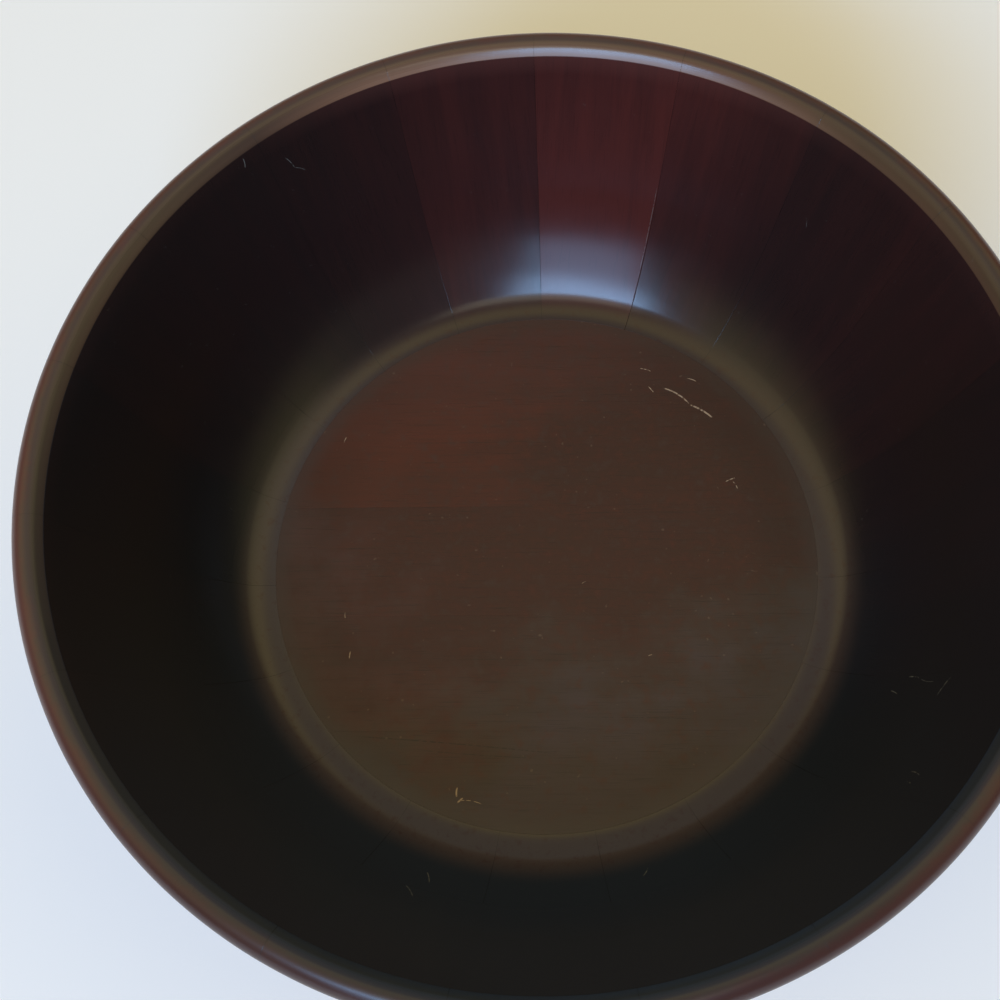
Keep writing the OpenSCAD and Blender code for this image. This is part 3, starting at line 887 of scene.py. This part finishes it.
def floor_finish(colours, turn, rim):
    """Brown stain under worn lacquer: redder to one side, duller to the other and greyer at the near side,
    where a painted reflection of the ceiling lies over the stain, paler at the rim with painted shade in a
    band inside it, with straight grain and pale scratches."""
    f = Finish("floor_wood")
    place = f.place()
    x, y, z = f.parts(place)
    broad, streak, pore = grain_of(f, f.moved(f.stretched(place, (1, 1, 1), -turn), "board"),
                                   (38, 1300, 1), (10, 120, 1))
    patch = f.noise(place, 30, 4.0, 0.6)
    fleck = f.noise(place, 240, 4.0, 0.65)

    # Soft fields of colour, each by a slanted distance with an uneven edge
    lean = f.plus(f.less(f.times(y, 0.5), x), f.fit(patch, 0.3, 0.7, -0.03, 0.03))
    blush = f.times(f.value("red"), f.fit(lean, -0.01, 0.07, smooth=True))
    stain = f.mix(blush, colours.floor_brown, colours.floor_red)
    side = f.plus(f.plus(f.times(x, 0.8), f.times(y, 0.6)), f.fit(patch, 0.3, 0.7, -0.02, 0.02))
    pale = f.math("MAXIMUM", f.fit(side, -0.03, -0.08, smooth=True), f.fit(y, 0.045, 0.085, 0.0, 0.45))
    stain = f.mix(pale, stain, colours.floor_tan)
    # Painted reflection: olive, then grey, towards the near side, a sheen of the pale ceiling put into the
    # stain
    fall = f.plus(f.less(y, f.times(x, 0.15)), f.fit(patch, 0.3, 0.7, -0.03, 0.03))
    stain = f.mix(f.fit(fall, -0.015, -0.075, smooth=True), stain, colours.floor_olive)
    stain = f.mix(f.fit(fall, -0.045, -0.09, smooth=True), stain, colours.floor_grey)

    # Flecks and grain
    stain = f.mix(f.fit(fleck, 0.52, 0.75, 0.0, 0.5), stain, colours.floor_red)
    stain = f.mix(f.fit(fleck, 0.46, 0.28, 0.0, 0.4), stain, colours.floor_olive)
    stain = f.mix(f.fit(broad, 0.32, 0.72, 0.0, 0.26), stain, FLOOR_GRAIN)
    stain = f.mix(f.fit(streak, 0.45, 0.75, 0.0, 0.22), stain, FLOOR_STREAK)
    stain = f.mix(f.times(pore, 0.3), stain, FLOOR_PORE_AND_SHADE)

    # Rim: the stain of the cove beside it, greyer towards the near side as a painted reflection, and painted
    # shade in a darker band inside that to left and right, where the wall shades the floor
    level = f.stretched(place, (1, 1, 0))
    out = f.vector("LENGTH", level)
    toward = f.vector("DOT_PRODUCT", level, (math.sin(TOE_SHEEN_WAY), math.cos(TOE_SHEEN_WAY), 0))
    toe = f.mix(f.fit(toward, -rim, rim, smooth=True), colours.toe, colours.toe_near_and_sheen)
    stain = f.mix(f.fit(out, rim - 8 * MM, rim, 0.0, 0.5, smooth=True), stain, toe)
    sides = f.fit(f.math("ABSOLUTE", x), 0.35 * rim, 0.85 * rim)
    # Painted shade: the floor darker where the wall shades it, to left and right
    rim_shade = f.times(f.fit(out, rim - 26 * MM, rim - 14 * MM, 0.0, 0.22, smooth=True), sides)
    stain = f.mix(rim_shade, stain, FLOOR_PORE_AND_SHADE)

    # Dark lines, specks and scratches on the upper face
    ragged = f.times(ragged_of(f, place), f.math("GREATER_THAN", z, FLOOR_Z - MM))
    rows = [[(a * MM, b * MM, FLOOR_Z, *rest) for a, b, *rest in marks]
            for marks in (FLOOR_LINES, FLOOR_SCRATCHES)]
    lines, marks = (f.times(marks_of(f, place, each), ragged) for each in rows)
    stain = f.mix(f.times(lines, 0.55), stain, FLOOR_LINE)
    stain = f.mix(f.fit(f.noise(place, 520, 1.0), 0.745, 0.80, 0.0, 0.10), stain, colours.bare_wood)
    stain = f.mix(f.times(marks, 0.8), stain, colours.bare_wood)

    relief = f.less(f.times(streak, 0.6), f.plus(pore, f.times(marks, 2.0)))
    return f.finish(colour=stain, rough=f.fit(patch, 0.3, 0.7, 0.40, 0.50),
                    normal=f.bump(relief, 0.15, 0.00010), specular=0.4)


def turned_finish(name, colours, fine, coarse, stain_dark=0.45):
    """Red-brown stain under satin lacquer on a turned piece, with the grain drawn out along one axis."""
    f = Finish(name)
    place = f.place()
    broad, streak, pore = grain_of(f, place, fine, coarse)
    stain = f.mix(f.fit(broad, 0.3, 0.72, 0.0, 0.7), colours.pedestal, colours.wall_dark)
    stain = f.mix(f.fit(streak, 0.42, 0.75, 0.0, stain_dark), stain, TURNED_STREAK)
    stain = f.mix(f.times(pore, 0.5), stain, TURNED_PORE)
    rough = f.fit(f.noise(place, 30, 4.0, 0.6), 0.3, 0.7, 0.26, 0.38)
    relief = f.less(f.times(streak, 0.5), pore)
    return f.finish(colour=stain, rough=rough, normal=f.bump(relief, 0.25, 0.00012), ior=1.5)


def brass_finish(colours):
    """Plain brass, dulled in patches."""
    f = Finish("screw_brass")
    dull = f.noise(f.place(), 400, 4.0, 0.6)
    stain = f.mix(f.fit(dull, 0.4, 0.7), colours.brass, BRASS_DULL)
    return f.finish(colour=stain, rough=f.fit(dull, 0.3, 0.7, 0.28, 0.5), metal=1.0)


def felt_finish(colours):
    """Pressed wool: mottled, matt and fuzzy."""
    f = Finish("felt")
    place = f.place()
    mottle = f.noise(place, 700, 5.0, 0.7)
    hair = f.noise(place, 2600, 3.0, 0.7, 1.5)
    stain = f.mix(f.fit(mottle, 0.3, 0.7), tint(colours.felt, 0.6), tint(colours.felt, 1.5))
    normal = f.bump(f.plus(mottle, hair), 0.8, 0.0004)
    return f.finish(colour=stain, rough=0.95, normal=normal, specular=0.15, sheen=0.4, sheen_rough=0.5)


def dress(node, material):
    """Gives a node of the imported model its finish."""
    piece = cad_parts[node]
    if not piece.material_slots:
        piece.data.materials.append(material)
    for each in piece.material_slots:
        each.material = material


# Operators


class BOWL_OT_staves(bpy.types.Operator):
    """Makes the staves of the wall, each with its own tone and fine glue lines"""

    bl_idname = "bowl.staves"
    bl_label = "Staves"

    def execute(self, context):
        sizes = context.scene.bowl_sizes
        material = stave_finish(context.scene.bowl_colours)
        path, over, below, inside = wall_outline(sizes)
        floor_r = wall_frame(sizes)["floor_r"]
        pitch = 2 * math.pi / len(STAVES)
        tones, shades = self.tones(len(STAVES))
        climb = np.clip((path[:, 1] - CLIMB_START) / CLIMB_REACH, 0, 1)[:, None] - 0.5
        depth = np.full(len(path), LINE_DEPTH)
        opening = smooth(np.clip((OPEN_TOP - path[:, 1]) / OPEN_FADE, 0, 1))
        tight, opened = (LINE_WIDTH, depth), (OPEN_WIDTH, depth + OPEN_DEPTH * opening)
        for i, name in enumerate(STAVES):
            first = sizes.first_joint + i * pitch
            lines = [opened if (i + k) % len(STAVES) + 1 == sizes.open_joint else tight for k in (0, 1)]
            points, grain, joint, share = stave_points(
                first, first + pitch, path, inside, lines, RIPPLE_SEED + i)
            rows, cols = points.shape[:2]
            faces = quads(rows, cols, wrap_rows=True).tolist()
            faces.append((np.arange(rows) * cols).tolist())
            faces.append((np.arange(rows)[::-1] * cols + cols - 1).tolist())
            first_tone, last_tone, lift = tones[i]
            values = self.values(points, floor_r, below)
            values["tone"] = (first_tone + share * (last_tone - first_tone)) * (1 + lift * climb)
            values["joint"] = joint
            values["over"] = np.repeat(over[:, None], cols, axis=1)
            values["stave"] = np.full(joint.shape, float(i))
            values["shade"] = np.full(joint.shape, shades[i])
            make_piece(name + "_wood", points, faces, material, [name], values, grain)
        return {"FINISHED"}

    def tones(self, count):
        """Tones of all staves at both joints with what height adds, and the shades of their outsides."""
        tones = np.zeros((count, 3))
        tones[:, :2] = np.random.default_rng(TONE_SEED).uniform(*DRAWN_TONES, (count, 2))
        tones[:len(FIRST_TONES)] = FIRST_TONES
        tones[count - len(LAST_TONES):] = LAST_TONES
        return tones, np.random.default_rng(SHADE_SEED).uniform(0, 1, count)

    def values(self, points, floor_r, below):
        """Point values that follow the azimuth: stain of the cove with its painted reflection on the near
        side, the share of painted grey reflection on the nearer staves, lightness of the lip, and bared arris
        with its painted highlight."""
        azimuth = np.arctan2(points[..., 0], points[..., 1])
        turned = np.degrees(azimuth)
        # The cove's stain reaches further on the near side, partly a painted reflection band
        near = smooth(0.5 - 0.5 * np.cos(azimuth))
        reach = floor_r + TOE_REACH + TOE_NEAR_REACH * near
        cove = smooth(np.clip((reach - np.hypot(points[..., 0], points[..., 1])) / TOE_FADE, 0, 1))
        cove[below:] = 0
        # Share of the painted grey reflection on the nearer staves
        start, full = (np.where(azimuth < 0, *sides) for sides in (GLEAM_START, GLEAM_REACH))
        return {"cove": cove, "pale": smooth(0.5 + 0.5 * np.cos(azimuth - TOE_SHEEN_WAY)),
                "film": smooth(np.clip((np.abs(turned) - start) / full, 0, 1)),
                "wear": np.interp(turned, *np.transpose(LIP_LEVELS)),
                "bared": np.interp(turned, *np.transpose(ARRIS_BARE_AND_GLINT))}


class BOWL_OT_floor(bpy.types.Operator):
    """Makes the boards of the floor, with eased edges along their joints"""

    bl_idname = "bowl.floor"
    bl_label = "Floor boards"

    def execute(self, context):
        sizes, colours = context.scene.bowl_sizes, context.scene.bowl_colours
        material = floor_finish(colours, sizes.board_turn, wall_frame(sizes)["floor_r"])
        for i, name in enumerate(BOARDS):
            points, faces = board_points(sizes, i, len(BOARDS), BOARD_EASE)
            red = BOARD_REDS[i % len(BOARD_REDS)]
            values = {"board": np.full(len(points), float(i)), "red": np.full(len(points), red)}
            make_piece(name + "_wood", points, faces.tolist(), material, [name], values)
        return {"FINISHED"}


class BOWL_OT_pedestal(bpy.types.Operator):
    """Makes the turned stem and base, and finishes the collar"""

    bl_idname = "bowl.pedestal"
    bl_label = "Pedestal"

    def execute(self, context):
        sizes, colours = context.scene.bowl_pedestal, context.scene.bowl_colours
        upright = turned_finish("stem_wood", colours, (1300, 1300, 40), (170, 170, 8))
        level = turned_finish("base_wood", colours, (40, 1300, 1300), (8, 170, 170))
        path = stem_outline(sizes, UNDER_Z, COLLAR_Z, BASE_TOP_Z)
        turned_piece("stem_wood", path, upright, ["stem"])
        path = base_outline(sizes, BASE_Z, BASE_TOP_Z)
        turned_piece("base_wood", path, level, ["base"], closed=True)
        dress("collar", level)
        dress("collar_plugs", turned_finish("plug_wood", colours, (1300, 40, 1300), (170, 8, 170), 0.6))
        return {"FINISHED"}


class BOWL_OT_fastenings(bpy.types.Operator):
    """Finishes the wood screws"""

    bl_idname = "bowl.fastenings"
    bl_label = "Screws"

    def execute(self, context):
        material = brass_finish(context.scene.bowl_colours)
        dress("collar_screws", material)
        dress("base_screw", material)
        return {"FINISHED"}


class BOWL_OT_felt(bpy.types.Operator):
    """Makes the felt under the base, with a soft and slightly uneven edge"""

    bl_idname = "bowl.felt"
    bl_label = "Felt"

    def execute(self, context):
        sizes, colours = context.scene.bowl_pedestal, context.scene.bowl_colours
        r, top, ease = sizes.felt_radius, FELT_TOP_Z, 0.5 * MM

        def uneven(turn, radius, height):
            """Takes up to 0.3 mm off the edge, by three sine waves round it."""
            wave = np.sin(37 * turn) + np.sin(61 * turn + 2) + np.sin(113 * turn + 4 + 900 * height)
            return (radius > 0.9 * r) * 0.05 * MM * (3 + wave)

        path = path_of((0, 0), run((0.2 * r, 0), (r - ease, 0), 6),
                       arc((r - ease, ease), ease, -90, 0, 5)[1:],
                       arc((r - ease, top - ease), ease, 0, 90, 5),
                       run((r - ease, top), (0.2 * r, top), 6)[1:], (0, top))
        material = felt_finish(colours)
        felt = turned_piece("felt_disc", path, material, ["felt"], sides=240, shrink=uneven)
        return {"FINISHED"}


class BOWL_OT_stage(bpy.types.Operator):
    """Sets the pale table, the window, the soft light of the room and the camera"""

    bl_idname = "bowl.stage"
    bl_label = "Stage"

    def execute(self, context):
        scene, s = context.scene, context.scene.bowl_stage
        scene.view_settings.view_transform = "Standard"
        self.table(scene, s)
        self.room(scene, s)
        self.window(scene, s)
        self.camera(scene, s)
        return {"FINISHED"}

    def table(self, scene, s):
        mesh = bpy.data.meshes.new("table_top")
        edge = arc((0, 0), TABLE_REACH, 0, 360 - 360 / TABLE_SIDES, TABLE_SIDES)
        mesh.from_pydata(np.pad(edge, ((0, 0), (0, 1))).tolist(), [], [np.arange(len(edge)).tolist()])
        mesh.materials.append(Finish("table_pale").finish(colour=(*s.table, 1), rough=0.9, specular=0.2))
        top = bpy.data.objects.new("table_top", mesh)
        scene.collection.objects.link(top)

    def room(self, scene, s):
        world = bpy.data.worlds.new("soft_room")
        world.use_nodes = True
        n = Nodes(world.node_tree)
        where = n.add("ShaderNodeTexCoord").outputs["Generated"]
        ramp = n.add("ShaderNodeValToRGB", {"Fac": n.parts(where)["Z"]})
        ramp.color_ramp.interpolation = "EASE"
        for stop, at, shade in zip(ramp.color_ramp.elements, ROOM_STOPS, (s.room_low, s.room)):
            stop.position = at
            stop.color = (*shade, 1)
        light = ramp.outputs["Color"]
        for side in ("far", "near"):
            shade, way, core, edge = (getattr(s, side + key) for key in ("_shade", "_way", "_core", "_edge"))
            facing = n.vector("DOT_PRODUCT", where, way)
            light = n.mix(n.fit(facing, math.cos(edge), math.cos(core), smooth=True), light, shade)
        seen = n.add("ShaderNodeLightPath").outputs["Is Camera Ray"]
        background = n.tree.nodes["Background"]
        n.put(background.inputs["Color"], n.mix(seen, light, s.backdrop))
        n.put(background.inputs["Strength"], s.room_level)
        scene.world = world

    def window(self, scene, s):
        keys = ("azimuth", "elevation", "width", "height", "power")
        for pane, shade in (("upper", s.window_colour), ("lower", s.window_colour), ("glow", s.glow_colour)):
            azimuth, elevation, width, height, power = (getattr(s, pane + "_" + key) for key in keys)
            light = bpy.data.lights.new(pane + "_pane", "AREA")
            light.shape = "RECTANGLE"
            light.size, light.size_y = width, height
            light.energy = power
            light.color = shade
            lamp = bpy.data.objects.new(pane + "_pane", light)
            level = math.cos(elevation)
            aim = Vector((math.sin(azimuth) * level, math.cos(azimuth) * level, math.sin(elevation)))
            lamp.location = Vector((0, 0, FLOOR_Z)) + aim * s.window_distance
            lamp.rotation_euler = aim.to_track_quat("Z", "Y").to_euler()
            scene.collection.objects.link(lamp)

    def camera(self, scene, s):
        data = bpy.data.cameras.new("camera")
        data.sensor_width = 36.0
        data.lens = s.focal_length
        data.clip_start = 0.01
        view = bpy.data.objects.new("camera", data)
        tilt, roll = s.camera_tilt, s.camera_roll
        ahead = Vector((0, math.sin(tilt), -math.cos(tilt)))
        level_up = Vector((0, math.cos(tilt), math.sin(tilt)))
        right = math.cos(roll) * Vector((1, 0, 0)) + math.sin(roll) * level_up
        up = math.cos(roll) * level_up - math.sin(roll) * Vector((1, 0, 0))
        turn = Matrix((right, up, -ahead)).transposed()
        view.matrix_world = Matrix.Translation(s.camera_place) @ turn.to_4x4()
        scene.collection.objects.link(view)
        scene.camera = view


class BOWL_PT_panel(bpy.types.Panel):
    """Lists the pieces of the bowl"""

    bl_idname = "BOWL_PT_panel"
    bl_label = "Stave bowl"
    bl_space_type = "VIEW_3D"
    bl_region_type = "UI"
    bl_category = "Bowl"

    def draw(self, context):
        for operator in OPERATORS:
            self.layout.operator(operator.bl_idname)
        for group in GROUPS:
            settings = getattr(context.scene, group)
            for key in settings.__annotations__:
                self.layout.prop(settings, key)


GROUPS = {"bowl_sizes": BowlSizes, "bowl_pedestal": PedestalSizes, "bowl_colours": WoodColours,
          "bowl_stage": StageSettings}
OPERATORS = (BOWL_OT_stage, BOWL_OT_staves, BOWL_OT_floor, BOWL_OT_pedestal, BOWL_OT_fastenings, BOWL_OT_felt)


def register():
    for each in (*GROUPS.values(), *OPERATORS, BOWL_PT_panel):
        bpy.utils.register_class(each)
    for name, group in GROUPS.items():
        setattr(bpy.types.Scene, name, PointerProperty(type=group))


def unregister():
    for name in GROUPS:
        delattr(bpy.types.Scene, name)
    for each in reversed((*GROUPS.values(), *OPERATORS, BOWL_PT_panel)):
        bpy.utils.unregister_class(each)


def main():
    register()
    bpy.ops.bowl.stage()
    bpy.ops.bowl.staves()
    bpy.ops.bowl.floor()
    bpy.ops.bowl.pedestal()
    bpy.ops.bowl.fastenings()
    bpy.ops.bowl.felt()


if __name__ == "__main__":
    main()
